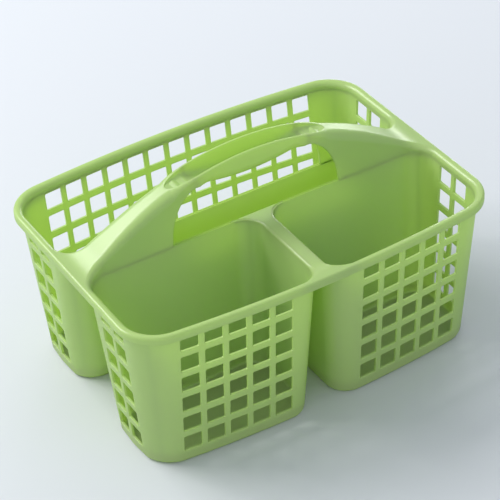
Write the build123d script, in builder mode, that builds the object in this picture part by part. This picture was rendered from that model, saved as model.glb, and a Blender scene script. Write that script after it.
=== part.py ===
from build123d import *
from math import atan2, cos, radians, sin, sqrt, tan
import os

# Cleaning caddy: one long bin at the back (+Y), two bins side by side at the front (-Y), a rolled rim round
# all three and an arched carrying handle along X over the slot between the bins. Millimetres, +Z up, with
# the origin on the ground under the middle of the caddy.

# ---- driving dimensions -----------------------------------------------------------------------------------
WALL = 2.2                      # thickness of the moulding
PARTING = 135.0                 # height at which the bin walls end and the rim, decks and handle begin
RIM_TOP = 142.0
TRAY_TOP = 8.0                  # height of the one-piece bottom tray of each bin
FLOOR = 2.4                     # floor thickness
FOOT_RADIUS = 3.5               # rounding where the walls turn into the floor

END_X = 159.5                   # outer face of the end walls at the parting height
LONG_Y = 118.6                  # outer face of the long walls at the parting height, at mid length
SPINE_Y = 12.8                  # handle-side face of the bin walls along the slot, at the parting height
DIVIDER_X = 4.4                 # half the gap between the two front bins at the parting height
END_DRAFT = tan(radians(3.2))
LONG_DRAFT = tan(radians(4.5))
SPINE_DRAFT = tan(radians(5.5))
BOW_RADIUS = 1220.0             # plan radius of the gently bowed long walls
CORNER = 30.0                   # outer plan radius of the four corners of the caddy
SPINE_CORNER = 22.0             # outer plan radius of the bin corners beside the handle slot
DIVIDER_CORNER = 20.0           # outer plan radius of the bin corners beside the middle gap

COLUMN_PITCH = 20.0             # square windows of the grilles
ROW_PITCH = 21.2
ROWS = 6
WINDOW = 15.2
TOP_ROW_Z = 126.0               # centre of the top row
FRONT_GRILLE_X = 80.0           # middle of a front bin's grille
END_GRILLE_Y = 61.0             # middle of an end grille

RIM_OVERHANG = 5.5              # how far the rolled rim stands out from the walls
RIM_ROLL = 3.4                  # rounding of the rim's upper edges

SADDLE_TOP = 138.5              # crest of the bridge between the front bins

ARCH_TOP = 194.3                # crown of the handle at mid length
ARCH_RADIUS = 235.0
EASE_RADIUS = 24.0              # where the crown eases into the deck at each end
WEB_DRAFT = tan(radians(3.8))   # lean of the two webs of the handle
CROWN_RADIUS = 7.0              # rounding of the crown's long edges
BELLY_Z = 172.5                 # lowest point of the trough that is the grip
BELLY_RADIUS = 206.0
BELLY_EDGE = 7.5                # rounding of the trough's long lower edges
HAND_FOOT = 78.0                # half length of the hand opening at its foot
HAND_SIDE = 74.0                # and at mid height
HAND_SIDE_Z = 157.0
HAND_TOP = 52.0                 # and where it meets the belly of the grip
HAND_TOP_Z = 179.0
CUTTER_TOP_Z = 184.0            # where the opening's cutter ends, inside the grip
DECK_X = 138.0                  # where the handle's legs end and the decks begin

WEB_Y = SPINE_Y + WALL          # bin-side face of the webs at the parting height
CUT_REACH = 40.0                # how far the window cutters reach to each side of a wall's outer face
SPARE = 5.0                     # how far the shapes that the crown trims stand above it
DEEP = 400.0                    # larger than the caddy, for slabs and through cuts


# ---- plan outlines ----------------------------------------------------------------------------------------
def end_x(z):
    return END_X - (PARTING - z) * END_DRAFT


def long_y(x, z):
    """Outer face of the bowed long wall at a place along it and a height."""
    return LONG_Y - (PARTING - z) * LONG_DRAFT - x * x / (2 * BOW_RADIUS)


def spine_y(z):
    return SPINE_Y + (PARTING - z) * SPINE_DRAFT


def divider_x(z):
    return DIVIDER_X + (PARTING - z) * END_DRAFT


def rear_outline(z, inset=0.0):
    """Plan of the rear bin at height z; an inset of the wall thickness gives its inside."""
    half = end_x(z) - inset
    near = spine_y(z) + inset
    far = long_y(half, z) - inset
    with BuildSketch(Plane.XY.offset(z)) as plan:
        with BuildLine():
            Line((-half, near), (half, near))
            Line((half, near), (half, far))
            ThreePointArc((half, far), (0, long_y(0, z) - inset), (-half, far))
            Line((-half, far), (-half, near))
        make_face()
        fillet(plan.vertices().group_by(Axis.Y)[0], SPINE_CORNER - inset)
        fillet(plan.vertices().group_by(Axis.Y)[-1], CORNER - inset)
    return plan.sketch


def left_outline(z, inset=0.0):
    """Plan of the left front bin at height z."""
    outer = -end_x(z) + inset
    inner = -divider_x(z) - inset
    middle = (outer + inner) / 2
    near = -spine_y(z) - inset
    with BuildSketch(Plane.XY.offset(z)) as plan:
        with BuildLine():
            Line((outer, near), (inner, near))
            Line((inner, near), (inner, -long_y(inner, z) + inset))
            ThreePointArc(
                (inner, -long_y(inner, z) + inset),
                (middle, -long_y(middle, z) + inset),
                (outer, -long_y(outer, z) + inset),
            )
            Line((outer, -long_y(outer, z) + inset), (outer, near))
        make_face()
        corners = plan.vertices().sort_by(Axis.X)
        fillet(corners[:2].sort_by(Axis.Y)[0], CORNER - inset)
        fillet(plan.vertices().group_by(Axis.Y)[-1].sort_by(Axis.X)[0], SPINE_CORNER - inset)
        fillet(plan.vertices().sort_by(Axis.X)[-2:], DIVIDER_CORNER - inset)
    return plan.sketch


def rim_outline(z, grow):
    """Plan of the whole caddy at the parting height, grown outward."""
    half = END_X + grow
    side = long_y(half, PARTING) + grow
    with BuildSketch(Plane.XY.offset(z)) as plan:
        with BuildLine():
            ThreePointArc((-half, -side), (0, -LONG_Y - grow), (half, -side))
            Line((half, -side), (half, side))
            ThreePointArc((half, side), (0, LONG_Y + grow), (-half, side))
            Line((-half, side), (-half, -side))
        make_face()
        fillet(plan.vertices(), CORNER + grow)
    return plan.sketch


# ---- bins -------------------------------------------------------------------------------------------------
def bin_shell(outline):
    """An open tapered bin with a rounded foot, before its windows are cut."""
    with BuildPart() as shell:
        add(outline(0))
        add(outline(PARTING))
        loft()
        fillet(shell.faces().sort_by(Axis.Z)[0].edges(), FOOT_RADIUS)
        add(outline(FLOOR, WALL))
        add(outline(PARTING, WALL))
        loft(mode=Mode.SUBTRACT)
    return shell.part


def long_windows(columns, middle_x, side):
    """Cutters for a long wall's windows: side is +1 for the rear wall and -1 for the front."""
    centre_z = TOP_ROW_Z - (ROWS - 1) * ROW_PITCH / 2
    with BuildPart() as cutters:
        with BuildSketch(Plane.XZ.offset(-side * (LONG_Y - CUT_REACH))):
            with Locations((middle_x, centre_z)):
                with GridLocations(COLUMN_PITCH, ROW_PITCH, columns, ROWS):
                    Rectangle(WINDOW, WINDOW)
        extrude(amount=-side * 2 * CUT_REACH)
    return cutters.part


def end_windows(middle_y, side):
    """Cutters for an end wall's windows: side is +1 for the right end and -1 for the left."""
    centre_z = TOP_ROW_Z - (ROWS - 1) * ROW_PITCH / 2
    with BuildPart() as cutters:
        with BuildSketch(Plane.YZ.offset(side * (END_X - CUT_REACH))):
            with Locations((middle_y, centre_z)):
                with GridLocations(COLUMN_PITCH, ROW_PITCH, 2, ROWS):
                    Rectangle(WINDOW, WINDOW)
        extrude(amount=side * 2 * CUT_REACH)
    return cutters.part


def corner_plane(x, y, towards_x, towards_y):
    """Upright plane through a corner's centre, cutting it at 45 degrees."""
    return Plane(origin=(x, y, 0), z_dir=(towards_x, -towards_y, 0))


def tray(shell):
    with BuildPart() as bottom:
        add(shell)
        split(bisect_by=Plane.XY.offset(TRAY_TOP), keep=Keep.BOTTOM)
    return bottom.part


def panel(shell, on_wall, *planes):
    """The part of a bin's wall above its tray, on the same side of every plane as a point on that wall."""
    with BuildPart() as wall:
        add(shell)
        split(bisect_by=Plane.XY.offset(TRAY_TOP), keep=Keep.TOP)
        for plane in planes:
            keep = Keep.TOP if plane.to_local_coords(Vector(*on_wall, 0)).Z > 0 else Keep.BOTTOM
            split(bisect_by=plane, keep=keep)
    return wall.part


def finish(part, label):
    part.label = label
    export_step(part, f"parts/{label}.step")


os.makedirs("parts", exist_ok=True)

CORNER_X = END_X - CORNER
CORNER_Y = long_y(END_X, PARTING) - CORNER
SPINE_CORNER_X = END_X - SPINE_CORNER
SPINE_CORNER_Y = SPINE_Y + SPINE_CORNER
DIVIDER_CORNER_X = DIVIDER_X + DIVIDER_CORNER
DIVIDER_CORNER_Y = long_y(0, PARTING) - DIVIDER_CORNER

back_right = corner_plane(CORNER_X, CORNER_Y, 1, 1)
back_left = corner_plane(-CORNER_X, CORNER_Y, -1, 1)
near_right = corner_plane(SPINE_CORNER_X, SPINE_CORNER_Y, 1, -1)
near_left = corner_plane(-SPINE_CORNER_X, SPINE_CORNER_Y, -1, -1)
rear_middle = Plane.XZ.offset(-END_GRILLE_Y)

# ---- rear bin ---------------------------------------------------------------------------------------------
rear_shell = bin_shell(rear_outline)

with BuildPart() as rear_windowed:
    add(rear_shell)
    add(long_windows(13, 0, 1), mode=Mode.SUBTRACT)
    add(end_windows(END_GRILLE_Y, 1), mode=Mode.SUBTRACT)
    add(end_windows(END_GRILLE_Y, -1), mode=Mode.SUBTRACT)

finish(tray(rear_shell), "rear_bin_tray")
finish(panel(rear_windowed.part, (0, LONG_Y), back_left, back_right, rear_middle), "rear_bin_back_grille")
finish(panel(rear_windowed.part, (-END_X, END_GRILLE_Y), back_left, near_left), "rear_bin_left_end_grille")
finish(panel(rear_windowed.part, (END_X, END_GRILLE_Y), back_right, near_right), "rear_bin_right_end_grille")
finish(panel(rear_windowed.part, (0, SPINE_Y), near_left, near_right, rear_middle), "rear_bin_slot_wall")

# ---- front bins -------------------------------------------------------------------------------------------
left_shell = bin_shell(left_outline)

with BuildPart() as left_windowed:
    add(left_shell)
    add(long_windows(5, -FRONT_GRILLE_X, -1), mode=Mode.SUBTRACT)
    add(end_windows(-END_GRILLE_Y, -1), mode=Mode.SUBTRACT)

outer_front = corner_plane(-CORNER_X, -CORNER_Y, -1, -1)
outer_slot = corner_plane(-SPINE_CORNER_X, -SPINE_CORNER_Y, -1, 1)
inner_slot = corner_plane(-DIVIDER_CORNER_X, -SPINE_Y - DIVIDER_CORNER, 1, 1)
inner_front = corner_plane(-DIVIDER_CORNER_X, -DIVIDER_CORNER_Y, 1, -1)

front_bin = {
    "tray": tray(left_shell),
    "front_grille": panel(left_windowed.part, (-FRONT_GRILLE_X, -LONG_Y), outer_front, inner_front),
    "end_grille": panel(left_windowed.part, (-END_X, -END_GRILLE_Y), outer_front, outer_slot),
    "slot_wall": panel(left_windowed.part, (-FRONT_GRILLE_X, -SPINE_Y), outer_slot, inner_slot),
    "divider_wall": panel(left_windowed.part, (-DIVIDER_X, -END_GRILLE_Y), inner_slot, inner_front),
}
for name, part in front_bin.items():
    finish(part, f"left_bin_{name}")
    finish(mirror(part, about=Plane.YZ), f"right_bin_{name}")

# ---- rim: the top of the outer wall, rolled outward and down into a hollow lip ----------------------------
with BuildPart() as rim:
    add(rim_outline(PARTING, RIM_OVERHANG))
    extrude(amount=RIM_TOP - PARTING)
    fillet(rim.faces().sort_by(Axis.Z)[-1].edges(), RIM_ROLL)
    add(rim_outline(PARTING, -WALL))
    extrude(amount=DEEP, mode=Mode.SUBTRACT)
    with BuildSketch(Plane.XY.offset(PARTING)):
        add(rim_outline(PARTING, RIM_OVERHANG - WALL))
        add(rim_outline(PARTING, 0), mode=Mode.SUBTRACT)
    extrude(amount=RIM_TOP - PARTING - WALL, mode=Mode.SUBTRACT)
finish(rim.part, "rim")

# ---- bridge between the front bins ------------------------------------------------------------------------
def cavity(outline, base, height):
    """What the inside of a bin takes out of the pieces built above the parting height."""
    with BuildPart() as room:
        add(outline(PARTING, base))
        extrude(amount=height)
    return room.part


left_cavity = cavity(left_outline, WALL, DEEP)
right_cavity = mirror(left_cavity, about=Plane.YZ)
rear_cavity = cavity(rear_outline, WALL, DEEP)

with BuildPart() as middle_bridge:
    with BuildSketch(Plane.XY.offset(PARTING)):
        add(rim_outline(PARTING, -WALL))
        Rectangle(2 * DIVIDER_CORNER_X, DEEP, mode=Mode.INTERSECT)
        with Locations((0, -SPINE_Y - DEEP / 2)):
            Rectangle(DEEP, DEEP, mode=Mode.INTERSECT)
    extrude(amount=SADDLE_TOP - PARTING)
    add(left_cavity, mode=Mode.SUBTRACT)
    add(right_cavity, mode=Mode.SUBTRACT)
finish(middle_bridge.part, "middle_bridge")


# ---- handle -----------------------------------------------------------------------------------------------
def between_webs(inset):
    """Everything between the two leaning webs, a little higher than the crown."""
    height = ARCH_TOP + SPARE - PARTING
    half = WEB_Y - inset
    top_half = half - height * WEB_DRAFT
    with BuildPart() as prism:
        with BuildSketch(Plane.YZ):
            with Locations((0, PARTING)):
                Polygon((-half, 0), (half, 0), (top_half, height), (-top_half, height), align=None)
        extrude(amount=DEEP, both=True)
    return prism.part


def arch(inset, crown_radius):
    """The handle as a solid from end wall to end wall, smaller all round by an inset."""
    deck = RIM_TOP - inset
    end = END_X - WALL
    centre_z = ARCH_TOP - ARCH_RADIUS
    radius = ARCH_RADIUS - inset
    ease = EASE_RADIUS + inset
    ease_x = sqrt((radius + ease) ** 2 - (deck + ease - centre_z) ** 2)
    touch = Vector(ease_x, deck + ease - centre_z) * (radius / (radius + ease)) + Vector(0, centre_z)
    half_turn = atan2(ease_x - touch.X, deck + ease - touch.Y) / 2
    bend = Vector(ease_x - ease * sin(half_turn), deck + ease - ease * cos(half_turn))
    with BuildPart() as bow:
        with BuildSketch(Plane.XZ):
            with BuildLine():
                ThreePointArc((-touch.X, touch.Y), (0, ARCH_TOP - inset), touch)
                ThreePointArc(touch, bend, (ease_x, deck))
                Polyline((ease_x, deck), (end, deck), (end, PARTING))
                Line((end, PARTING), (-end, PARTING))
                Polyline((-end, PARTING), (-end, deck), (-ease_x, deck))
                ThreePointArc((-ease_x, deck), (-bend.X, bend.Y), (-touch.X, touch.Y))
            make_face()
        extrude(amount=WEB_Y, both=True)
        add(between_webs(inset), mode=Mode.INTERSECT)
        if crown_radius:
            webs = bow.faces().filter_by(lambda face: abs(face.normal_at().Y) > 0.9)
            long_edges = ShapeList(edge for web in webs for edge in web.edges() if is_crown_edge(edge, end))
            fillet(long_edges, crown_radius)
    return bow.part


def is_crown_edge(edge, end):
    return edge.center().Z > PARTING + 1 and abs(edge.center().X) < end - 1


def trough(inset):
    """A round-bottomed trough bent along the belly of the grip."""
    half = WEB_Y - (BELLY_Z + BELLY_EDGE - PARTING) * WEB_DRAFT - inset
    bottom = BELLY_Z + inset
    top = ARCH_TOP + SPARE
    with BuildPart() as ring:
        with BuildSketch(Plane.YZ) as section:
            with Locations((0, (bottom + top) / 2)):
                Rectangle(2 * half, top - bottom)
            fillet(section.vertices().group_by(Axis.Y)[0], BELLY_EDGE - inset)
        revolve(axis=Axis((0, 0, BELLY_Z + BELLY_RADIUS), (0, 1, 0)))
        add(between_webs(inset), mode=Mode.INTERSECT)
        with BuildSketch(Plane.XY.offset(PARTING)):
            Rectangle(2 * HAND_FOOT, DEEP)
        extrude(amount=top - PARTING, mode=Mode.INTERSECT)
    return ring.part


arch_outside = arch(0, CROWN_RADIUS)
arch_inside = arch(WALL, CROWN_RADIUS - WALL)

with BuildPart() as handle_grip:
    add(trough(0))
    add(arch(0, 0), mode=Mode.INTERSECT)
    grip_outside = handle_grip.part
    add(trough(WALL), mode=Mode.SUBTRACT)
finish(handle_grip.part, "handle_grip")

with BuildPart() as hand_opening:
    with BuildSketch(Plane.XZ):
        with BuildLine():
            side = ThreePointArc((HAND_FOOT, PARTING), (HAND_SIDE, HAND_SIDE_Z), (HAND_TOP, HAND_TOP_Z))
            top = Line((HAND_TOP, HAND_TOP_Z), (HAND_TOP, CUTTER_TOP_Z))
            Line((HAND_TOP, CUTTER_TOP_Z), (-HAND_TOP, CUTTER_TOP_Z))
            mirror(side, about=Plane.YZ)
            mirror(top, about=Plane.YZ)
            Line((-HAND_FOOT, PARTING), (HAND_FOOT, PARTING))
        make_face()
    extrude(amount=DEEP, both=True)

with BuildPart() as legs:
    add(arch_outside)
    add(arch_inside, mode=Mode.SUBTRACT)
    add(hand_opening.part, mode=Mode.SUBTRACT)
    add(grip_outside, mode=Mode.SUBTRACT)
    with BuildSketch(Plane.XY.offset(PARTING)):
        Rectangle(2 * DECK_X, DEEP)
    extrude(amount=DEEP, mode=Mode.INTERSECT)
left_leg, right_leg = legs.solids().sort_by(Axis.X)
finish(left_leg, "handle_left_leg")
finish(right_leg, "handle_right_leg")


# ---- decks: hollow shoulders that carry the handle between the bins at each end ---------------------------
def end_region(height):
    """A slab over the end of the slot, between the leg and the rim."""
    with BuildPart() as slab:
        with BuildSketch(Plane.XY.offset(PARTING)):
            add(rim_outline(PARTING, -WALL))
            Rectangle(DEEP, 2 * (SPINE_Y + SPINE_CORNER), mode=Mode.INTERSECT)
            with Locations((DECK_X + DEEP / 2, 0)):
                Rectangle(DEEP, DEEP, mode=Mode.INTERSECT)
        extrude(amount=height)
    return slab.part


with BuildPart() as deck_hollow:
    add(end_region(RIM_TOP - PARTING - WALL))
    add(cavity(rear_outline, 0, DEEP), mode=Mode.SUBTRACT)
    add(mirror(cavity(left_outline, 0, DEEP), about=Plane.YZ), mode=Mode.SUBTRACT)
    add(arch_inside)

with BuildPart() as deck:
    add(end_region(RIM_TOP - PARTING))
    add(arch_outside)
    add(deck_hollow.part, mode=Mode.SUBTRACT)
    add(rear_cavity, mode=Mode.SUBTRACT)
    add(right_cavity, mode=Mode.SUBTRACT)
    split(bisect_by=Plane.YZ.offset(DECK_X), keep=Keep.TOP)
finish(deck.part, "right_deck")
finish(mirror(deck.part, about=Plane.YZ), "left_deck")
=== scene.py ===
from math import acos, asin, atan2, cos, pi, radians, sin, sqrt, tan

import bpy
from mathutils import Matrix, Vector


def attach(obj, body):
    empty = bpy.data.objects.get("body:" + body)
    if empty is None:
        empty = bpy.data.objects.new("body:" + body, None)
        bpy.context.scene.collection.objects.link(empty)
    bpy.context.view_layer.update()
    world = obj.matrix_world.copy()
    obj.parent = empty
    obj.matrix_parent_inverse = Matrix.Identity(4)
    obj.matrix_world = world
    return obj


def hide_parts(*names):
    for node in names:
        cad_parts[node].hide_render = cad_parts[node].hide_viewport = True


# The looks of the cleaning caddy: each CAD node is replaced by one smooth moulded piece, built from the same
# driving dimensions. Lengths are in millimetres until a piece is made, and the frame is the CAD one.
# The stage and the lights are in metres.

MM = 0.001

# ---- driving dimensions ------------------------------------------------------------------------------------
WALL = 2.2                      # thickness of every wall
PARTING = 135.0                 # height at which the rim and the handle meet the walls
RIM_TOP = 142.0
TRAY_TOP = 8.0                  # height at which the walls meet the trays
FLOOR = 2.4
FOOT_RADIUS = 3.5               # rounding where the walls turn into the underside
FLOOR_FILLET = 2.0

END_X = 159.5                   # outer faces of the walls at the parting height
LONG_Y = 118.6
SPINE_Y = 12.8                  # faces of the bins along the slot
DIVIDER_X = 4.4                 # faces of the front bins along the gap between them
END_DRAFT = tan(radians(3.2))
LONG_DRAFT = tan(radians(4.5))
SPINE_DRAFT = tan(radians(5.5))
BOW_RADIUS = 1220.0             # bow of the two long walls
CORNER = 30.0
SPINE_CORNER = 22.0
DIVIDER_CORNER = 20.0

COLUMN_PITCH = 20.0
ROW_PITCH = 21.2
ROWS = 6
WINDOW = 15.2
WINDOW_CORNER = 0.9
WINDOW_EDGE = 0.45              # rounding of the edges of a window
TOP_ROW_Z = 126.0
BACK_COLUMNS = 13
FRONT_COLUMNS = 5
END_COLUMNS = 2
FRONT_GRILLE_X = 80.0
END_GRILLE_Y = 61.0
CORNER_STEPS = 10               # mesh steps from a corner's middle to the nearest window
CREST_STEPS = 8                 # mesh steps over the top of a wall

RIM_OVERHANG = 5.5
RIM_ROLL = 2.4
RIM_SWEEP = 4.8                 # rounding from the inner face of the walls up to the rim's crest
RIM_SEAT = 0.05                 # how far the decks and the bridge stay under the rim's crest
LIP_EDGE = 0.7

ARCH_TOP = 194.3
ARCH_BEND = 0.00235             # fall of the crown for each square millimetre of distance from the middle
CREST_X = END_X - WALL + RIM_SWEEP
EASE_START = (ARCH_TOP - RIM_TOP) / (ARCH_BEND * CREST_X)
WEB_DRAFT = tan(radians(3.8))
WEB_Y = SPINE_Y + WALL
GRIP_SHOULDER = 1.4             # rounding between web and crown, at the grip and on the legs
LEG_SHOULDER = 9.0
LEG_SHOULDER_X = (34.0, 84.0)   # where the rounding grows from the grip's to the legs'
RIM_SHOULDER_X = 106.0          # where it begins to change into the rim's
GRIP_END = 54.0
DECK_X = 138.0
MOUTH_START = 38.0              # where the mouth of the trough begins to narrow
MOUTH_END = 73.0
MOUTH_CURVE = 2.4               # exponent of the mouth's outline at its ends
TROUGH_STEEP = 56.0             # where the trough's floor turns up to its end
TROUGH_RISE = 1.7               # exponent of that turn
TROUGH_SQUARE = (3.6, 2.2)      # squareness of the trough's section, at the middle and at its ends
BELLY_Z = 172.5
BELLY_RADIUS = 206.0
BELLY_EDGE = 9.5                # rounding of the belly's long edges
BELLY_EDGE_X = 38.0             # where that rounding begins to shrink
BELLY_CORNER_X = 52.0           # where the hand opening's edge leaves the belly
HAND_FOOT = 78.0
HAND_CENTRE = 48.0              # centre and height of the rounded end of the hand opening
HAND_HEIGHT = 44.5
LIP_ROUND = 0.7
INNER_FILLET = 0.8              # rounding under the crown, inside the legs
DECK_TURNS = (4, 10, 17, 24, 32, 40, 48, 56, 64, 72, 80, 86, 90)    # mesh stations round the decks' corner

SADDLE_TOP = 138.5
SADDLE_SLOT_TOP = 1.0           # height of the bridge over the parting height, at the slot
SADDLE_SHOULDER = 2.0
WALL_BEAD = 0.8                 # rounded top of the walls along the slot

# ---- camera, in millimetres and degrees
CAMERA_PLACE = (-638.3, -1135.0, 1073.3)
CAMERA_AHEAD = (0.3906, 0.6957, -0.6028)
CAMERA_ROLL = -3.6
CAMERA_LENS = 144.2


def smooth(t):
    t = min(max(t, 0.0), 1.0)
    return t * t * (3 - 2 * t)


def mix(a, b, t):
    return a + (b - a) * t


# ---- mesh building -----------------------------------------------------------------------------------------
class Skin:
    """Gathers faces whose corners each carry a normal, welding corners that lie at the same place."""

    def __init__(self):
        self.places = []
        self.known = {}
        self.faces = []
        self.normals = []

    def vertex(self, place):
        key = tuple(round(value * 500) for value in place)
        if key not in self.known:
            self.known[key] = len(self.places)
            self.places.append(Vector(place))
        return self.known[key]

    def face(self, corners):
        """One face from corners of (place, normal), turned to agree with the normals."""
        kept = []
        for place, normal in corners:
            index = self.vertex(place)
            if all(index != other for other, _ in kept):
                kept.append((index, Vector(normal).normalized()))
        if len(kept) < 3:
            return
        around = Vector((0, 0, 0))
        first = self.places[kept[0][0]]
        for (a, _), (b, _) in zip(kept[1:], kept[2:]):
            around += (self.places[a] - first).cross(self.places[b] - first)
        if around.length < 1e-6:
            return
        if around.dot(sum((normal for _, normal in kept), Vector((0, 0, 0)))) < 0:
            kept.reverse()
        self.faces.append([index for index, _ in kept])
        self.normals.extend(normal for _, normal in kept)

    def grid(self, rows, closed=False):
        """Faces between neighbouring rows of (place, normal) points; closed joins each row's ends."""
        for low, high in zip(rows, rows[1:]):
            count = len(low) if closed else len(low) - 1
            for k in range(count):
                following = (k + 1) % len(low)
                self.face([low[k], low[following], high[following], high[k]])

    def fan(self, ring, normal):
        """One flat face over a closed ring of places."""
        self.face([(place, normal) for place in ring])

    def mirrored(self):
        """The same skin on the other side of the YZ plane."""
        other = Skin()
        other.places = [Vector((-place.x, place.y, place.z)) for place in self.places]
        start = 0
        for face in self.faces:
            other.faces.append(face[::-1])
            part = self.normals[start:start + len(face)]
            other.normals.extend(Vector((-n.x, n.y, n.z)) for n in reversed(part))
            start += len(face)
        return other

    def piece(self, node, material):
        """A Blender object that stands for a CAD node."""
        mesh = bpy.data.meshes.new(f"{node}_shell")
        mesh.from_pydata([place * MM for place in self.places], [], self.faces)
        mesh.polygons.foreach_set("use_smooth", [True] * len(mesh.polygons))
        mesh.normals_split_custom_set([tuple(normal) for normal in self.normals])
        mesh.materials.append(material)
        shell = bpy.data.objects.new(f"{node}_shell", mesh)
        bpy.context.collection.objects.link(shell)
        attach(shell, "root")
        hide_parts(node)
        return shell


# ---- plan outlines -----------------------------------------------------------------------------------------
class Outline:
    """A closed plan outline, walked anticlockwise as straight runs and arcs of known length."""

    def __init__(self, runs):
        self.runs = []
        at = 0.0
        for run in runs:
            if run[0] == "line":
                length = (Vector(run[2]) - Vector(run[1])).length
            else:
                length = run[2] * (run[4] - run[3])
            self.runs.append((run, at, length))
            at += length
        self.length = at

    def at(self, place):
        """Point and outward normal in plan at a distance along the outline."""
        place %= self.length
        for run, start, length in self.runs:
            if place <= start + length + 1e-9:
                break
        ahead = place - start
        if run[0] == "line":
            a, b = Vector(run[1]), Vector(run[2])
            along = (b - a).normalized()
            return a + along * ahead, Vector((along.y, -along.x))
        centre, radius, begin = Vector(run[1]), run[2], run[3]
        turn = begin + ahead / radius
        normal = Vector((cos(turn), sin(turn)))
        return centre + normal * radius, normal

    def crossing(self, axis, value, indices):
        """Distance along the outline at which one of the given runs crosses a coordinate value."""
        for index in indices:
            run, start, length = self.runs[index]
            if run[0] == "line":
                a, b = run[1][axis], run[2][axis]
                if abs(b - a) > 1e-9 and min(a, b) - 1e-6 <= value <= max(a, b) + 1e-6:
                    return start + length * (value - a) / (b - a)
                continue
            ratio = (value - run[1][axis]) / run[2]
            if abs(ratio) > 1:
                continue
            base = acos(ratio) if axis == 0 else asin(ratio)
            other = -base if axis == 0 else pi - base
            for turn in (base, other, base + 2 * pi, other + 2 * pi):
                if run[3] - 1e-7 <= turn <= run[4] + 1e-7:
                    return start + run[2] * (turn - run[3])
        raise ValueError(f"no run crosses {value} on axis {axis}")


def end_x(z):
    return END_X - (PARTING - z) * END_DRAFT


def spine_y(z):
    return SPINE_Y + (PARTING - z) * SPINE_DRAFT


def divider_x(z):
    return DIVIDER_X + (PARTING - z) * END_DRAFT


def bow_centre(z):
    """Distance from the middle plane to the centre of the long walls' bow, behind the opposite wall."""
    return LONG_Y - (PARTING - z) * LONG_DRAFT - BOW_RADIUS


def corner_on_bow(x, radius, z):
    """Distance from the middle plane of a corner's centre, where the corner is tangent to the bow."""
    return bow_centre(z) + sqrt((BOW_RADIUS - radius) ** 2 - x * x)


def rear_plan(z):
    half, near, behind = end_x(z), spine_y(z), bow_centre(z)
    slot_x, slot_y = half - SPINE_CORNER, near + SPINE_CORNER
    far_x = half - CORNER
    far_y = corner_on_bow(far_x, CORNER, z)
    turn = atan2(far_y - behind, far_x)
    return Outline([
        ("line", (-slot_x, near), (slot_x, near)),
        ("arc", (slot_x, slot_y), SPINE_CORNER, -pi / 2, 0.0),
        ("line", (half, slot_y), (half, far_y)),
        ("arc", (far_x, far_y), CORNER, 0.0, turn),
        ("arc", (0.0, behind), BOW_RADIUS, turn, pi - turn),
        ("arc", (-far_x, far_y), CORNER, pi - turn, pi),
        ("line", (-half, far_y), (-half, slot_y)),
        ("arc", (-slot_x, slot_y), SPINE_CORNER, pi, 1.5 * pi),
    ])


def left_plan(z):
    outer, inner, near, behind = -end_x(z), -divider_x(z), -spine_y(z), -bow_centre(z)
    outer_slot = (outer + SPINE_CORNER, near - SPINE_CORNER)
    inner_slot = (inner - DIVIDER_CORNER, near - DIVIDER_CORNER)
    outer_front = (outer + CORNER, -corner_on_bow(outer + CORNER, CORNER, z))
    inner_front = (inner - DIVIDER_CORNER, -corner_on_bow(inner - DIVIDER_CORNER, DIVIDER_CORNER, z))
    first = atan2(outer_front[1] - behind, outer_front[0]) + 2 * pi
    last = atan2(inner_front[1] - behind, inner_front[0]) + 2 * pi
    return Outline([
        ("line", (inner_slot[0], near), (outer_slot[0], near)),
        ("arc", outer_slot, SPINE_CORNER, pi / 2, pi),
        ("line", (outer, outer_slot[1]), (outer, outer_front[1])),
        ("arc", outer_front, CORNER, pi, first),
        ("arc", (0.0, behind), BOW_RADIUS, first, last),
        ("arc", inner_front, DIVIDER_CORNER, last, 2 * pi),
        ("line", (inner, inner_front[1]), (inner, inner_slot[1])),
        ("arc", inner_slot, DIVIDER_CORNER, 0.0, pi / 2),
    ])


def rim_plan():
    half, behind = END_X, bow_centre(PARTING)
    x = half - CORNER
    y = corner_on_bow(x, CORNER, PARTING)
    turn = atan2(y - behind, x)
    return Outline([
        ("line", (half, -y), (half, y)),
        ("arc", (x, y), CORNER, 0.0, turn),
        ("arc", (0.0, behind), BOW_RADIUS, turn, pi - turn),
        ("arc", (-x, y), CORNER, pi - turn, pi),
        ("line", (-half, y), (-half, -y)),
        ("arc", (-x, -y), CORNER, pi, pi + turn),
        ("arc", (0.0, -behind), BOW_RADIUS, pi + turn, 2 * pi - turn),
        ("arc", (x, -y), CORNER, 2 * pi - turn, 2 * pi),
    ])


class Bin:
    """A bin's tapered wall. A place on it is given along its plan, at a height and at a depth inward."""

    def __init__(self, plan, drafts):
        self.plan = plan
        self.drafts = drafts
        self.outlines = {}

    def outline(self, z):
        key = round(z, 4)
        if key not in self.outlines:
            self.outlines[key] = self.plan(z)
        return self.outlines[key]

    def lean(self, normal):
        """How far the wall leans outward for each millimetre up, where its plan normal is this one."""
        across = self.drafts[0] * normal.x * normal.x
        along = self.drafts[1 if normal.y * self.drafts[3] > 0 else 2] * normal.y * normal.y
        return across + along

    def point(self, along, z, depth):
        place, normal = self.outline(z).at(along)
        outward = Vector((normal.x, normal.y, -self.lean(normal))).normalized()
        return Vector((place.x - normal.x * depth, place.y - normal.y * depth, z)), outward


rear_bin = Bin(rear_plan, (END_DRAFT, LONG_DRAFT, SPINE_DRAFT, 1))
left_bin = Bin(left_plan, (END_DRAFT, LONG_DRAFT, SPINE_DRAFT, -1))


# ---- wall panels with their windows ------------------------------------------------------------------------
def window_rows():
    return [TOP_ROW_Z - k * ROW_PITCH for k in reversed(range(ROWS))]


def height_marks():
    """Heights of the grid lines between the rows of windows, and of the panel's lower and upper edges."""
    rows = window_rows()
    return [TRAY_TOP] + [row - ROW_PITCH / 2 for row in rows] + [rows[-1] + ROW_PITCH / 2, PARTING]


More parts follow.
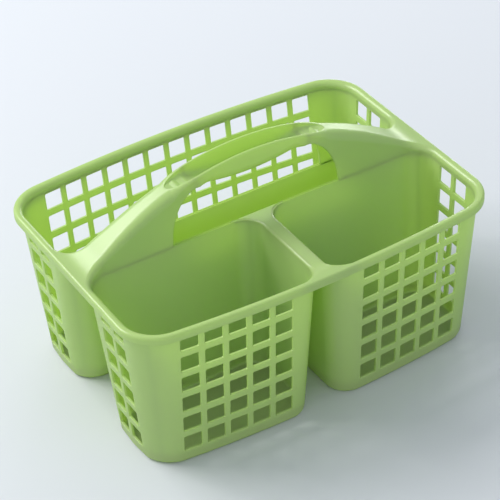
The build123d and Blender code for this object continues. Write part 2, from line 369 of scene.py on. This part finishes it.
def window_ring(grow):
    """Round a window, grown by a distance: offsets from its centre, starting at the lower left corner."""
    half = WINDOW / 2 + grow
    radius = WINDOW_CORNER + grow
    reach = half - radius
    ring = []
    for quarter, (sx, sz) in enumerate([(-1, -1), (1, -1), (1, 1), (-1, 1)]):
        for step in range(3):
            turn = pi + quarter * pi / 2 + step * pi / 4
            ring.append((sx * reach + radius * cos(turn), sz * reach + radius * sin(turn)))
        if quarter in (0, 2):
            for share in (0.25, 0.5, 0.75):
                ring.append((sx * reach * (1 - 2 * share), sz * half))
    return ring


def window_tile(skin, wall, centre_z, axis, centre, runs):
    """One window and the strip of wall round it, out to the middle of the ribs beside it."""
    sides = [crossing_mark(wall, axis, centre + sign * COLUMN_PITCH / 2, runs) for sign in (-1, 1)]
    floor_z, ceiling_z = centre_z - ROW_PITCH / 2, centre_z + ROW_PITCH / 2
    steps = [(WINDOW_EDGE * (1 - sin(t)), WINDOW_EDGE * (1 - cos(t)), t) for t in (0.0, pi / 4, pi / 2)]
    sections = [(grow, depth, t, 1) for grow, depth, t in steps]
    sections += [(grow, WALL - depth, t, -1) for grow, depth, t in reversed(steps)]
    rings = []
    for grow, depth, turn, side in sections:
        ring = []
        for across, up in window_ring(grow):
            z = centre_z + up
            along = wall.outline(z).crossing(axis, centre + across, runs)
            place, normal = wall.point(along, z, depth)
            reach = WINDOW / 2 - WINDOW_CORNER
            inward = Vector((0, 0, max(-reach, min(reach, up)) - up))
            inward[axis] = max(-reach, min(reach, across)) - across
            inward.normalize()
            ring.append((place, normal * cos(turn) * side + inward * sin(turn)))
        rings.append(ring)
    skin.grid(rings, closed=True)
    for ring, depth, side in ((rings[0], 0.0, 1), (rings[-1], WALL, -1)):
        corners = []
        for side_index, z in ((0, floor_z), (1, floor_z), (1, ceiling_z), (0, ceiling_z)):
            place, normal = wall.point(sides[side_index](z), z, depth)
            corners.append((place, normal * side))
        count = len(ring)
        starts = [1, 7, 10, 16]     # the middle point of each of the window's corners
        for k in range(4):
            begin, end = starts[k], starts[(k + 1) % 4]
            span = [ring[(begin + j) % count] for j in range((end - begin) % count + 1)]
            skin.face([corners[k], corners[(k + 1) % 4]] + span[::-1])


def bead(place):
    """Height of the rounded top of a wall along the slot, where it shows between the handle's legs."""
    beside_slot = abs(place.y) < SPINE_Y + WALL + 0.1
    return WALL_BEAD * smooth((HAND_FOOT - 0.5 - abs(place.x)) / 1.5) if beside_slot else 0.0


def between(marks):
    """Stations from the first mark to just before the last one, each a place on the outline for a height."""
    stations = []
    for (mark, steps, _), (following, _, _) in zip(marks, marks[1:]):
        for step in range(steps):
            stations.append(lambda z, a=mark, b=following, t=step / steps: mix(a(z), b(z), t))
    return stations


def wall_panel(wall, marks):
    """A wall from mid corner to mid corner. marks holds (place on the outline for a height, steps to the next
    mark, window or None), where a window is (axis, centre, runs)."""
    skin = Skin()
    heights = height_marks()
    stations = between(marks) + [marks[-1][0]]
    for band, (z0, z1) in enumerate(zip(heights, heights[1:])):
        in_row = 0 < band <= ROWS
        column = 0
        for _, steps, window in marks[:-1]:
            if in_row and window:
                window_tile(skin, wall, (z0 + z1) / 2, *window)
            else:
                for depth, side in ((0.0, 1), (WALL, -1)):
                    rows = []
                    for z in (z0, z1):
                        row = []
                        for k in range(column, column + steps + 1):
                            place, normal = wall.point(stations[k](z), z, depth)
                            row.append((place, normal * side))
                        rows.append(row)
                    skin.grid(rows)
            column += steps
    skin.grid([[(wall.point(station(TRAY_TOP), TRAY_TOP, depth)[0], (0, 0, -1)) for station in stations]
               for depth in (0.0, WALL)])
    crest = []
    for step in range(CREST_STEPS + 1):
        turn = pi * step / CREST_STEPS
        row = []
        for station in stations:
            place, normal = wall.point(station(PARTING), PARTING, WALL * (1 - cos(turn)) / 2)
            height = bead(place)
            out = Vector((normal.x, normal.y, 0)) * cos(turn) * height
            up = Vector((0, 0, WALL / 2 * sin(turn) + 1e-3))
            row.append((place + Vector((0, 0, height * sin(turn))), out + up))
        crest.append(row)
    skin.grid(crest)
    for mark, sign in ((marks[0][0], -1), (marks[-1][0], 1)):
        rows = []
        for z in heights:
            _, normal = wall.outline(z).at(mark(z))
            away = Vector((-normal.y, normal.x, 0)) * sign
            rows.append([(wall.point(mark(z), z, depth)[0], away) for depth in (0.0, WALL)])
        skin.grid(rows)
    return skin


def mid_arc(wall, index):
    """The middle of a corner, where two panels meet."""
    def mark(z):
        outline = wall.outline(z)
        run, start, length = outline.runs[index]
        middle = (run[3] + run[4]) / 2
        diagonal = min((k * pi / 2 + pi / 4 for k in range(-1, 4)), key=lambda t: abs(t - middle))
        place = start + length * (diagonal - run[3]) / (run[4] - run[3])
        return place - outline.length if index < 0 else place
    return mark


def crossing_mark(wall, axis, value, runs):
    return lambda z: wall.outline(z).crossing(axis, value, runs)


def grille_marks(wall, first, last, axis, centres, runs):
    """Marks of a windowed wall that runs from one corner's middle to the next."""
    step = COLUMN_PITCH / 2 if centres[-1] > centres[0] else -COLUMN_PITCH / 2
    marks = [(mid_arc(wall, first), CORNER_STEPS, None)]
    for centre in centres:
        marks.append((crossing_mark(wall, axis, centre - step, runs), 1, (axis, centre, runs)))
    marks.append((crossing_mark(wall, axis, centres[-1] + step, runs), CORNER_STEPS, None))
    marks.append((mid_arc(wall, last), 0, None))
    return marks


def plain_marks(wall, first, last):
    """Marks of a plain wall from one corner's middle to the next."""
    return [(mid_arc(wall, first), 8 * CORNER_STEPS, None), (mid_arc(wall, last), 0, None)]


def tray_skin(wall, marks):
    """A bin's bottom: the foot of its walls, rounded into a flat underside, and the floor inside."""
    skin = Skin()
    stations = between(marks)

    def ring(z, depth, tilt, side):
        """Points round the tray; tilt turns the wall's normal towards straight down or up."""
        points = []
        for station in stations:
            place, normal = wall.point(station(z), z, depth)
            flat = Vector((normal.x, normal.y, 0)).normalized() if tilt else normal
            points.append((place, flat * cos(tilt) * side + Vector((0, 0, -sin(tilt) * side))))
        return points

    outside = [ring(TRAY_TOP, 0.0, 0.0, 1), ring(FOOT_RADIUS, 0.0, 0.0, 1)]
    for step in range(1, 7):
        turn = step / 6 * pi / 2
        outside.append(ring(FOOT_RADIUS * (1 - sin(turn)), FOOT_RADIUS * (1 - cos(turn)), turn, 1))
    skin.grid(outside, closed=True)
    skin.fan([place for place, _ in outside[-1]], (0, 0, -1))
    inside = [ring(TRAY_TOP, WALL, 0.0, -1), ring(FLOOR + FLOOR_FILLET, WALL, 0.0, -1)]
    for step in range(1, 5):
        turn = step / 4 * pi / 2
        level = FLOOR + FLOOR_FILLET * (1 - sin(turn))
        inside.append(ring(level, WALL + FLOOR_FILLET * (1 - cos(turn)), turn, -1))
    skin.grid(inside, closed=True)
    skin.fan([place for place, _ in inside[-1]], (0, 0, 1))
    skin.grid([[(place, (0, 0, 1)) for place, _ in ring(TRAY_TOP, depth, 0.0, 1)] for depth in (0.0, WALL)],
              closed=True)
    return skin


# ---- rim ---------------------------------------------------------------------------------------------------
def rim_profile():
    """The rim's section as (out from the walls' outer face, height, normal out, normal up), anticlockwise."""
    section = []

    def arc(out, up, radius, begin, end, side=1):
        for step in range(7):
            turn = radians(mix(begin, end, step / 6))
            across, rise = cos(turn), sin(turn)
            section.append((out + radius * across, up + radius * rise, side * across, side * rise))

    section.append((-WALL, PARTING, -1, 0))
    for step in range(11):
        turn = step / 10 * pi / 2
        across, rise = cos(turn), sin(turn)
        section.append((RIM_SWEEP * (1 - across) - WALL, RIM_TOP - RIM_SWEEP * (1 - rise), -across, rise))
    arc(RIM_OVERHANG - RIM_ROLL, RIM_TOP - RIM_ROLL, RIM_ROLL, 90, 0)
    arc(RIM_OVERHANG - LIP_EDGE, PARTING + LIP_EDGE, LIP_EDGE, 0, -90)
    arc(RIM_OVERHANG - WALL + LIP_EDGE, PARTING + LIP_EDGE, LIP_EDGE, -90, -180)
    hollow = RIM_OVERHANG / 2 - WALL / 2
    arc(hollow, RIM_TOP - WALL - hollow, hollow, 0, 180, -1)
    section.append((0.0, PARTING, 1, 0))
    section.append((0.0, PARTING, 0, -1))
    section.append((-WALL, PARTING, 0, -1))
    return section


def rim_skin():
    skin = Skin()
    outline = rim_plan()
    stations = []
    for _, start, length in outline.runs:
        steps = max(24, round(length / 6))
        stations += [start + length * step / steps for step in range(steps)]
    rows = []
    for station in stations:
        place, normal = outline.at(station)
        row = []
        for out, up, across, rise in rim_profile():
            row.append((Vector((place.x + normal.x * out, place.y + normal.y * out, up)),
                        Vector((normal.x * across, normal.y * across, rise))))
        rows.append(row)
    rows.append(rows[0])
    skin.grid(rows, closed=True)
    return skin


# ---- handle ------------------------------------------------------------------------------------------------
def crown(x):
    """Height of the handle's top along its length."""
    x = abs(x)
    if x <= EASE_START:
        return ARCH_TOP - ARCH_BEND * x * x
    t = (CREST_X - min(x, CREST_X)) / (CREST_X - EASE_START)
    return RIM_TOP - RIM_SEAT + ARCH_BEND * EASE_START * (CREST_X - EASE_START) * t * t


def belly(x):
    return BELLY_Z + x * x / (2 * BELLY_RADIUS)


def trough_floor(x):
    """Height of the trough's floor, which turns up steeply at the mouth's end."""
    x = abs(x)
    if x <= TROUGH_STEEP:
        return belly(x) + WALL
    depth = crown(TROUGH_STEEP) - belly(TROUGH_STEEP) - WALL
    share = min((x - TROUGH_STEEP) / (MOUTH_END - TROUGH_STEEP), 1.0)
    return crown(x) - depth * (1 - share ** TROUGH_RISE)


def mouth(x):
    """Half width of the trough's mouth at the crown."""
    full = WEB_Y - (crown(x) - PARTING) * WEB_DRAFT - WALL
    if abs(x) <= MOUTH_START:
        return full
    share = min((abs(x) - MOUTH_START) / (MOUTH_END - MOUTH_START), 1.0)
    return full * sqrt(max(0.0, 1 - share ** MOUTH_CURVE))


def bowl(x):
    """Half width, top and depth of the trough inside its lips."""
    half = mouth(x)
    depth = crown(x) - trough_floor(x)
    lip = min(LIP_ROUND, half, depth / 2)
    return Vector((half, crown(x) - lip, depth - lip))


def opening_edge(x):
    """Height of the hand opening's edge, and the direction from it into the web."""
    share = min(max((x - HAND_CENTRE) / (HAND_FOOT - HAND_CENTRE), 0.0), 1.0)
    rise = sqrt(1 - share * share)
    into = Vector((share / (HAND_FOOT - HAND_CENTRE), rise / HAND_HEIGHT))
    return PARTING + HAND_HEIGHT * rise, into.normalized()


def handle_stations():
    """Places along the handle from the middle to the rim, for one half, closest where the shape turns."""
    stations = [4.0 * k for k in range(13)] + [BELLY_CORNER_X]
    turns = 18
    start = acos((BELLY_CORNER_X - HAND_CENTRE) / (HAND_FOOT - HAND_CENTRE))
    for k in range(turns + 1):
        stations.append(HAND_CENTRE + (HAND_FOOT - HAND_CENTRE) * cos(start * (1 - k / turns)))
    stations += [mix(MOUTH_START, MOUTH_END, sin(radians(turn))) for turn in range(44, 91, 2)]
    stations += [82.0 + 4.0 * k for k in range(14)] + [136.5]
    stations = sorted(stations)
    spaced = [stations[0]]
    for x in stations[1:]:
        if x - spaced[-1] > 0.04:
            spaced.append(x)
    return spaced


def web_foot(x):
    """Foot of the web on the bin's side, and the plan direction from it into the handle."""
    centre_x, radius = END_X - SPINE_CORNER, SPINE_CORNER - WALL
    if x <= centre_x:
        return WEB_Y, Vector((0.0, -1.0))
    turn = asin(min((x - centre_x) / radius, 1.0))
    return SPINE_Y + SPINE_CORNER - radius * cos(turn), Vector((sin(turn), -cos(turn)))


def shoulder(x):
    """Rounding between web and crown: thin at the grip's lips, broad on the legs, tight again at the rim."""
    x = abs(x)
    start, end = LEG_SHOULDER_X
    grip = mix(GRIP_SHOULDER, LEG_SHOULDER, smooth((x - start) / (end - start)))
    room = (WEB_Y - (crown(x) - PARTING) * WEB_DRAFT - mouth(x) - LIP_ROUND) * 0.94
    if x < MOUTH_END:
        grip = min(grip, max(room, 0.9))
    return mix(grip, RIM_SWEEP, smooth((x - RIM_SHOULDER_X) / (CREST_X - 4 - RIM_SHOULDER_X)))


def section(x):
    """Half of the handle's section at a place along it, from the underside's middle round the web and the
    crown to the top's middle. Each point is (place, normal, whether the normal is final), and every section
    has the same number of points."""
    foot, into = web_foot(x)
    lean = atan2(WEB_DRAFT, 1.0)
    radius = shoulder(x)
    inner_x = min(x + into.x * (radius + 0.6), CREST_X)
    top = crown(inner_x)
    points = []

    def put(off, z, out, up, fixed=None, shift=0.0):
        """A point at a distance into the handle from the web's foot."""
        place = Vector((x + into.x * off + shift, foot + into.y * off, z))
        place.x = min(place.x, CREST_X)
        place.y = max(place.y, 0.0)
        normal = Vector((-into.x * out, -into.y * out, up))
        points.append((place, normal if fixed is None else fixed, fixed is not None))

    def put_level(place, share, up):
        """A point on the level way from a place to the handle's middle plane."""
        points.append((Vector((place.x, place.y * (1 - share), place.z)), Vector((0.0, 0.0, up)), False))

    def last():
        return points[-1][0].copy()

    open_below = x <= HAND_FOOT
    low, web_in = opening_edge(x) if open_below else (PARTING, Vector((0.0, 1.0)))
    free_edge = BELLY_CORNER_X < x <= HAND_FOOT
    half_wall = WALL / 2
    ceiling = belly(x) if x < MOUTH_END else top - WALL
    inside_top = min(ceiling, top - WALL)
    bottom = belly(x) if x <= BELLY_CORNER_X else low + (half_wall * web_in.y if free_edge else 0.0)

    centre_z = top - radius
    centre_off = (centre_z - PARTING) * WEB_DRAFT + radius / cos(lean)

    if x <= BELLY_CORNER_X:
        corner = mix(BELLY_EDGE, 1.0, smooth((x - BELLY_EDGE_X) / (BELLY_CORNER_X - BELLY_EDGE_X)))
        corner_z = bottom + corner
        corner_off = (corner_z - PARTING) * WEB_DRAFT + corner / cos(lean)
        for k in range(4):
            put(mix(foot, corner_off, k / 4), bottom, 0, -1)
        for k in range(9):
            turn = mix(-pi / 2, lean, k / 8)
            put(corner_off - corner * cos(turn), corner_z + corner * sin(turn), cos(turn), sin(turn))
        web_low = corner_z + corner * sin(lean)
    else:
        inner = WALL + (inside_top - INNER_FILLET - PARTING) * WEB_DRAFT
        inner_low = WALL + (bottom - PARTING) * WEB_DRAFT
        put(inner + INNER_FILLET, inside_top, 0, -1)
        corner = points.pop()[0]
        for k in range(5):
            put_level(corner, 1 - k / 4, -1)
        put(inner + INNER_FILLET * 0.3, inside_top - INNER_FILLET * 0.3, -0.7, -0.7)
        put(inner, inside_top - INNER_FILLET, -1, -WEB_DRAFT)
        put(inner_low, bottom, -1, -WEB_DRAFT)
        outer_low = (bottom - PARTING) * WEB_DRAFT
        for k in range(5):
            turn = pi * k / 4
            off = mix(inner_low, outer_low, (1 - cos(turn)) / 2)
            if free_edge:
                bulge = half_wall * sin(turn)
                put(off, bottom - web_in.y * bulge, 0, 0,
                    Vector((-web_in.x * sin(turn), -cos(turn), -web_in.y * sin(turn))), -web_in.x * bulge)
            else:
                put(off, PARTING, 0, -1, Vector((0, 0, -1)))
        web_low = bottom
    web_high = centre_z + radius * sin(lean)
    for k in range(7):
        z = mix(web_low, web_high, k / 6)
        put((z - PARTING) * WEB_DRAFT, z, cos(lean), sin(lean))
    for k in range(1, 11):
        turn = mix(lean, pi / 2, k / 10)
        put(centre_off - radius * cos(turn), centre_z + radius * sin(turn), cos(turn), sin(turn))
    half = mouth(x) if x < MOUTH_END else 0.0
    edge = min(LIP_ROUND, half)
    lip_off = foot - half - edge
    if x < MOUTH_END:
        for k in (1, 2):
            put(mix(centre_off, max(lip_off, centre_off), k / 2), top, 0, 1)
        _, wall_top, depth = bowl(x)
        for k in range(1, 5):
            turn = pi / 2 * k / 4
            put(lip_off + edge * sin(turn), top - (top - wall_top) * (1 - cos(turn)), -sin(turn), cos(turn))
        square = mix(*TROUGH_SQUARE, smooth((x - MOUTH_START) / (MOUTH_END - MOUTH_START)))
        reach = 0.02
        change = (bowl(x + reach) - bowl(x - reach)) / (2 * reach) if x > 0 else Vector((0, 0, 0))
        for k in range(1, 13):
            turn = pi / 2 * k / 12
            across, down = cos(turn) ** (2 / square), sin(turn) ** (2 / square)
            steep = down ** (square - 1) / depth
            put(foot - half * across, wall_top - depth * down, 0, 0, Vector((
                across ** square * change[0] / half - steep * (change[1] - down * change[2]),
                -across ** (square - 1) / half, steep)))
    else:
        ridge = last()
        for k in range(18):
            put_level(ridge, (k + 1) / 18, 1)
    return points


def handle_rings():
    """Closed rings of (place, normal) round the handle, one for each station of one half."""
    chains = [section(x) for x in handle_stations()]
    for turn in DECK_TURNS:
        chains.append(section(END_X - SPINE_CORNER + (SPINE_CORNER - WALL) * sin(radians(turn))))
    rings = []
    for k, chain in enumerate(chains):
        before, after = chains[max(k - 1, 0)], chains[min(k + 1, len(chains) - 1)]
        half = []
        for j, (place, normal, fixed) in enumerate(chain):
            if not fixed:
                ahead = after[j][0] - before[j][0]
                flat = Vector((normal.x, normal.y, 0))
                out = flat.length
                into = -flat.normalized() if out > 1e-6 else Vector((0, -1, 0))
                across = into * normal.z + Vector((0, 0, out))
                true = ahead.cross(across)
                if k == 0:
                    true = Vector((0, normal.y, normal.z))
                if true.length > 1e-4:
                    true.normalize()
                    normal = true if true.dot(normal) > 0 else -true
            half.append((place, normal.normalized()))
        other = [(Vector((p.x, -p.y, p.z)), Vector((n.x, -n.y, n.z))) for p, n in reversed(half)]
        rings.append(half + other)
    return rings


def flipped(ring):
    """A row or ring of (place, normal) on the other side of the YZ plane."""
    return [(Vector((-p.x, p.y, p.z)), Vector((-n.x, n.y, n.z))) for p, n in ring]


def ring_skin(rings):
    """A skin along X through the rings, closed by a flat face at each end."""
    skin = Skin()
    skin.grid(rings, closed=True)
    skin.fan([place for place, _ in rings[0]], (-1, 0, 0))
    skin.fan([place for place, _ in rings[-1]], (1, 0, 0))
    return skin


# ---- bridge ------------------------------------------------------------------------------------------------
def bridge_skin():
    """The saddle between the front bins, which falls to the slot and rises to the rim."""
    skin = Skin()
    slot_y, radius = -SPINE_Y - WALL, DIVIDER_CORNER - WALL
    corner_x = DIVIDER_X + DIVIDER_CORNER
    slot_centre = -SPINE_Y - DIVIDER_CORNER
    rim_centre = -corner_on_bow(corner_x, DIVIDER_CORNER, PARTING)
    rim_y = -LONG_Y + WALL - RIM_SWEEP

    def half_width(y):
        if y > slot_centre:
            return corner_x - sqrt(max(0.0, radius ** 2 - (y - slot_centre) ** 2))
        if y < rim_centre:
            return corner_x - sqrt(max(0.0, radius ** 2 - (y - rim_centre) ** 2))
        return corner_x - radius

    def edge_distance(x, y):
        """Distance to the nearest bin, and the plan direction away from it."""
        side = 1 if x >= 0 else -1
        centre_y = slot_centre if y > slot_centre else rim_centre if y < rim_centre else y
        away = Vector((x - side * corner_x, y - centre_y))
        return away.length - radius, away.normalized()

    def level(y):
        """Height of the bridge's middle over the parting height."""
        crest = mix(SADDLE_SLOT_TOP, SADDLE_TOP - PARTING, smooth((-y - 13) / 22))
        return mix(crest, RIM_TOP - PARTING - RIM_SEAT, smooth((-y - 98) / 22))

    def top(x, y):
        """Point and normal on the bridge's upper side."""
        crest = level(y)
        shoulder_here = SADDLE_SHOULDER * (0.5 + 0.5 * smooth((-y - 20) / 15))
        curve = min(mix(shoulder_here, RIM_SWEEP, smooth((-y - 96) / 16)), crest)
        gap, away = edge_distance(x, y)
        share = min(max(gap / curve, 0.0), 1.0)
        lean = 1 - share
        height = crest - curve + curve * sqrt(max(0.0, 1 - lean * lean))
        slope = level(y + 0.5) - level(y - 0.5)
        normal = Vector((-away.x * lean, -away.y * lean, sqrt(max(0.0, 1 - lean * lean)) + 0.02))
        normal.y -= slope * normal.z
        return Vector((x, y, PARTING + height)), normal.normalized()

    ys = [-SPINE_Y, -SPINE_Y - 0.6, -SPINE_Y - 1.4]
    ys += [slot_y - radius * (1 - cos(radians(turn))) - 0.02 for turn in range(6, 90, 7)]
    ys += [mix(slot_centre, rim_centre, k / 12) for k in range(13)]
    ys += [rim_centre - radius * sin(radians(turn)) for turn in range(7, 90, 7)]
    ys += [-LONG_Y + WALL - RIM_SWEEP * k / 5 for k in range(5)]
    ys = sorted(set(round(y, 4) for y in ys if y > rim_y), reverse=True) + [rim_y]
    shares = [0, 0.02, 0.06, 0.13, 0.22, 0.34, 0.48, 0.64, 0.82, 1]
    rows = []
    for y in ys:
        reach = min(half_width(y), corner_x) if y < slot_y else corner_x
        row = []
        for share in shares[:-1]:
            row.append(top(-reach * (1 - share), y))
        row += [top(0, y)] + flipped(row)[::-1]
        rows.append(row)
    skin.grid(rows)
    base = [[(Vector((p.x, p.y, PARTING)), Vector((0, 0, -1))) for p, _ in row] for row in rows]
    skin.grid(base)
    for row, normal in ((rows[0], (0, 1, 0)), (rows[-1], (0, -1, 0))):
        skin.grid([[(p, normal) for p, _ in row], [(Vector((p.x, p.y, PARTING)), normal) for p, _ in row]])
    for end in (0, -1):
        side = []
        for row in rows:
            place, normal = row[end]
            outward = normal.xy.to_3d()
            side.append([(place, outward), (Vector((*place.xy, PARTING)), outward)])
        skin.grid(side)
    return skin


# ---- material ----------------------------------------------------------------------------------------------
def moulded_plastic():
    """Semi-gloss pastel green polypropylene that lets some light through."""
    material = bpy.data.materials.new("moulded_green_plastic")
    material.use_nodes = True
    nodes, links = material.node_tree.nodes, material.node_tree.links
    nodes.clear()
    output = nodes.new("ShaderNodeOutputMaterial")
    surface = nodes.new("ShaderNodeBsdfPrincipled")
    through = nodes.new("ShaderNodeBsdfTranslucent")
    blend = nodes.new("ShaderNodeMixShader")
    blend.inputs["Fac"].default_value = 0.48
    coordinates = nodes.new("ShaderNodeTexCoord")

    cloud = nodes.new("ShaderNodeTexNoise")
    cloud.inputs["Scale"].default_value = 7.0
    cloud.inputs["Detail"].default_value = 1.0
    links.new(coordinates.outputs["Object"], cloud.inputs["Vector"])
    tint = nodes.new("ShaderNodeValToRGB")
    tint.color_ramp.elements[0].position = 0.15
    tint.color_ramp.elements[0].color = (0.60, 0.75, 0.33, 1)
    tint.color_ramp.elements[1].position = 0.85
    tint.color_ramp.elements[1].color = (0.61, 0.76, 0.34, 1)
    links.new(cloud.outputs["Fac"], tint.inputs["Fac"])
    links.new(tint.outputs["Color"], surface.inputs["Base Color"])
    through.inputs["Color"].default_value = (0.67, 0.85, 0.21, 1)

    peel = nodes.new("ShaderNodeTexNoise")
    peel.inputs["Scale"].default_value = 420.0
    peel.inputs["Detail"].default_value = 2.0
    links.new(coordinates.outputs["Object"], peel.inputs["Vector"])
    rough = nodes.new("ShaderNodeMapRange")
    rough.inputs["From Min"].default_value = 0.15
    rough.inputs["From Max"].default_value = 0.85
    rough.inputs["To Min"].default_value = 0.25
    rough.inputs["To Max"].default_value = 0.28
    links.new(cloud.outputs["Fac"], rough.inputs["Value"])
    links.new(rough.outputs["Result"], surface.inputs["Roughness"])
    bump = nodes.new("ShaderNodeBump")
    bump.inputs["Strength"].default_value = 0.12
    bump.inputs["Distance"].default_value = 0.0002
    links.new(peel.outputs["Fac"], bump.inputs["Height"])
    links.new(bump.outputs["Normal"], surface.inputs["Normal"])
    surface.inputs["IOR"].default_value = 1.49
    surface.inputs["Specular IOR Level"].default_value = 0.8
    links.new(surface.outputs["BSDF"], blend.inputs[1])
    links.new(through.outputs["BSDF"], blend.inputs[2])
    links.new(blend.outputs["Shader"], output.inputs["Surface"])
    return material


def matt(name, colour):
    material = bpy.data.materials.new(name)
    material.use_nodes = True
    surface = material.node_tree.nodes["Principled BSDF"]
    surface.inputs["Base Color"].default_value = (*colour, 1)
    surface.inputs["Roughness"].default_value = 0.6
    return material


# ---- pieces ------------------------------------------------------------------------------------------------
def columns(count, middle):
    return [middle + (k - (count - 1) / 2) * COLUMN_PITCH for k in range(count)]


def all_marks(panels):
    """The marks of a bin's panels, one after another all the way round."""
    marks = []
    for panel in panels.values():
        marks += panel[:-1]
    return marks + [panel[-1]]


def make_bins(plastic):
    back = columns(BACK_COLUMNS, 0.0)[::-1]
    end = columns(END_COLUMNS, END_GRILLE_Y)
    rear_panels = {
        "slot_wall": plain_marks(rear_bin, -1, 1),
        "right_end_grille": grille_marks(rear_bin, 1, 3, 1, end, (1, 2, 3)),
        "back_grille": grille_marks(rear_bin, 3, 5, 0, back, (3, 4, 5)),
        "left_end_grille": grille_marks(rear_bin, 5, 7, 1, end[::-1], (5, 6, 7)),
    }
    for name, marks in rear_panels.items():
        wall_panel(rear_bin, marks).piece(f"rear_bin_{name}", plastic)
    tray_skin(rear_bin, all_marks(rear_panels)).piece("rear_bin_tray", plastic)

    front = columns(FRONT_COLUMNS, -FRONT_GRILLE_X)
    near = [-y for y in end]
    front_panels = {
        "slot_wall": plain_marks(left_bin, -1, 1),
        "end_grille": grille_marks(left_bin, 1, 3, 1, near, (1, 2, 3)),
        "front_grille": grille_marks(left_bin, 3, 5, 0, front, (3, 4, 5)),
        "divider_wall": plain_marks(left_bin, 5, 7),
    }
    skins = {name: wall_panel(left_bin, marks) for name, marks in front_panels.items()}
    skins["tray"] = tray_skin(left_bin, all_marks(front_panels))
    for name, skin in skins.items():
        skin.piece(f"left_bin_{name}", plastic)
        skin.mirrored().piece(f"right_bin_{name}", plastic)


def make_handle(plastic):
    rings = handle_rings()
    xs = [ring[0][0].x for ring in rings]
    grip_end = max(k for k, x in enumerate(xs) if x <= GRIP_END)
    leg_end = min(k for k, x in enumerate(xs) if x >= DECK_X - 1e-6)
    half = rings[:grip_end + 1]
    whole = [flipped(ring) for ring in reversed(half[1:])] + half
    ring_skin(whole).piece("handle_grip", plastic)
    leg = ring_skin(rings[grip_end:leg_end + 1])
    leg.piece("handle_right_leg", plastic)
    leg.mirrored().piece("handle_left_leg", plastic)
    deck = ring_skin(rings[leg_end:])
    deck.piece("right_deck", plastic)
    deck.mirrored().piece("left_deck", plastic)


def make_stage():
    """A plain pale floor."""
    mesh = bpy.data.meshes.new("floor")
    side = 6.0                  # half of the floor's width, in metres
    corners = [(-side, -side, 0), (side, -side, 0), (side, side, 0), (-side, side, 0)]
    mesh.from_pydata(corners, [], [(0, 1, 2, 3)])
    mesh.materials.append(matt("pale_floor", (0.62, 0.64, 0.67)))
    floor = bpy.data.objects.new("floor", mesh)
    bpy.context.collection.objects.link(floor)


def aim(thing, target):
    thing.rotation_mode = "QUATERNION"
    thing.rotation_quaternion = (Vector(target) - thing.location).to_track_quat("-Z", "Y")


def soft_box(name, place, target, size, power, colour):
    """A rectangular light, in metres and watts."""
    light = bpy.data.lights.new(name, "AREA")
    light.shape = "RECTANGLE"
    light.size, light.size_y = size
    light.energy = power
    light.color = colour
    lamp = bpy.data.objects.new(name, light)
    bpy.context.collection.objects.link(lamp)
    lamp.location = place
    aim(lamp, target)


def make_lights():
    middle = (0, 0, 0.08)
    soft_box("key", (-1.6, 1.5, 2.1), middle, (1.2, 1.2), 48, (1.0, 0.99, 0.96))
    soft_box("back", (-0.8, 2.1, 2.0), middle, (1.3, 0.8), 32, (1.0, 1.0, 1.0))
    soft_box("fill", (-1.2, -1.9, 0.8), middle, (1.4, 1.0), 3.5, (1.0, 0.95, 0.7))
    soft_box("low", (1.95, 2.1, 0.42), middle, (1.5, 0.5), 18, (1.0, 1.0, 1.0))
    world = bpy.data.worlds.new("studio")
    bpy.context.scene.world = world
    world.use_nodes = True
    sky = world.node_tree.nodes["Background"]
    sky.inputs["Color"].default_value = (0.86, 0.92, 1.0, 1)
    sky.inputs["Strength"].default_value = 0.68


def make_camera():
    camera = bpy.data.cameras.new("camera")
    camera.sensor_width = 36.0
    camera.lens = CAMERA_LENS
    camera.clip_start, camera.clip_end = 0.05, 50
    eye = bpy.data.objects.new("camera", camera)
    bpy.context.collection.objects.link(eye)
    ahead = Vector(CAMERA_AHEAD).normalized()
    right = ahead.cross(Vector((0, 0, 1))).normalized()
    up = right.cross(ahead)
    roll = radians(CAMERA_ROLL)
    across = right * cos(roll) + up * sin(roll)
    rise = up * cos(roll) - right * sin(roll)
    turned = Matrix((across, rise, -ahead)).transposed().to_4x4()
    eye.matrix_world = Matrix.Translation(Vector(CAMERA_PLACE) * MM) @ turned
    bpy.context.scene.camera = eye


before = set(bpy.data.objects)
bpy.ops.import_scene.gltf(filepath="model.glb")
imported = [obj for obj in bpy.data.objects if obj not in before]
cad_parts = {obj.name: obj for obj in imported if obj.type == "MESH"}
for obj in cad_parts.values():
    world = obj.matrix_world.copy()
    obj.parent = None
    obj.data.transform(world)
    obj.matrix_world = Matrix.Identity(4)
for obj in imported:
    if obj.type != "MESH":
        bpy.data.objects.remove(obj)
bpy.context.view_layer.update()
plastic = moulded_plastic()
make_bins(plastic)
rim_skin().piece("rim", plastic)
make_handle(plastic)
bridge_skin().piece("middle_bridge", plastic)
make_stage()
make_lights()
make_camera()
bpy.context.scene.view_settings.view_transform = "Standard"
